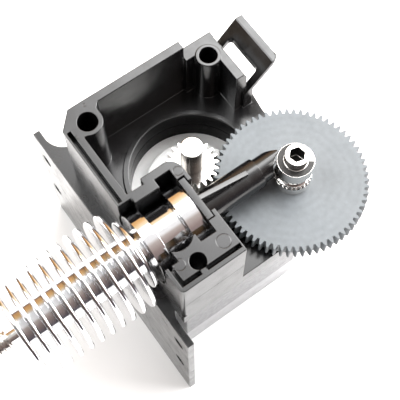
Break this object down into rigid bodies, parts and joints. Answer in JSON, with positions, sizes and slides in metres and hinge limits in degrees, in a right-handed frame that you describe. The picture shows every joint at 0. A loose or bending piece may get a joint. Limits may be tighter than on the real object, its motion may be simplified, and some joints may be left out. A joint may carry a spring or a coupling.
{
  "type": "extruder gear assembly",
  "caption": "Geared filament extruder, opened: moulded housing on a stepper motor, angle bracket, spur gear pair with hobbed shaft, filament guide and finned heat sink.",
  "frame": {"origin": "centre of the motor's rear face, on the surface it stands on", "axes": "+Z along the motor shaft out of its front face; -Y along the heat sink towards the hot end; +X towards the large gear's side"},
  "size_m": [0.0638, 0.0905, 0.0694],
  "materials": {
    "black_moulding": "satin injection-moulded",
    "gear_plastic": "satin moulded acetal",
    "steel": "turned, bright",
    "bearing_steel": "ground and polished",
    "black_steel": "black oxide",
    "cast_aluminium": "cast and machined",
    "electrical_steel": "stacked laminations",
    "copper_wire": "enamelled wire",
    "white_plastic": "moulded",
    "sink_aluminium": "turned and polished",
    "ptfe": "smooth",
    "brass": "turned",
    "magnet": "plated"
  },
  "bodies": {
    "frame": {"body_housing": "black_moulding", "mounting_bracket": "black_moulding", "filament_guide": "black_moulding", "hob_bearing_outer_ring": "bearing_steel", "hob_bearing_balls": "bearing_steel", "motor_front_cap": "cast_aluminium", "motor_stator": "electrical_steel", "motor_bobbins": "white_plastic", "motor_windings": "copper_wire", "motor_rear_cap": "cast_aluminium", "motor_case_screws": "steel", "front_bearing_outer_ring": "bearing_steel", "front_bearing_balls": "bearing_steel", "rear_bearing_outer_ring": "bearing_steel", "rear_bearing_balls": "bearing_steel", "bearing_wave_washer": "steel", "motor_connector": "white_plastic", "connector_pins": "brass", "heat_sink": "sink_aluminium", "heat_break": "steel", "liner_tube": "ptfe", "liner_collet": "black_moulding", "collet_ring": "brass"},
    "rotor": {"motor_shaft": "steel", "rotor_front_core": "electrical_steel", "rotor_magnet": "magnet", "rotor_rear_core": "electrical_steel", "pinion_gear": "steel", "pinion_grub_screw": "black_steel", "front_bearing_inner_ring": "bearing_steel", "rear_bearing_inner_ring": "bearing_steel"},
    "wheel": {"drive_gear": "gear_plastic", "hobbed_shaft": "steel", "hob_bearing_inner_ring": "bearing_steel"}
  },
  "joints": [
    {"name": "motor_spin", "type": "hinge", "parent": "frame", "child": "rotor", "pos_m": [0, 0, 0.03], "axis": [0, 0, 1], "continuous": true},
    {"name": "drive_spin", "type": "hinge", "parent": "frame", "child": "wheel", "pos_m": [0.01556, 0.01556, 0.052], "axis": [0, 0, 1], "continuous": true}
  ],
  "couplings": [
    {"joint": "drive_spin", "follows": "motor_spin", "ratio": -0.33333}
  ]
}
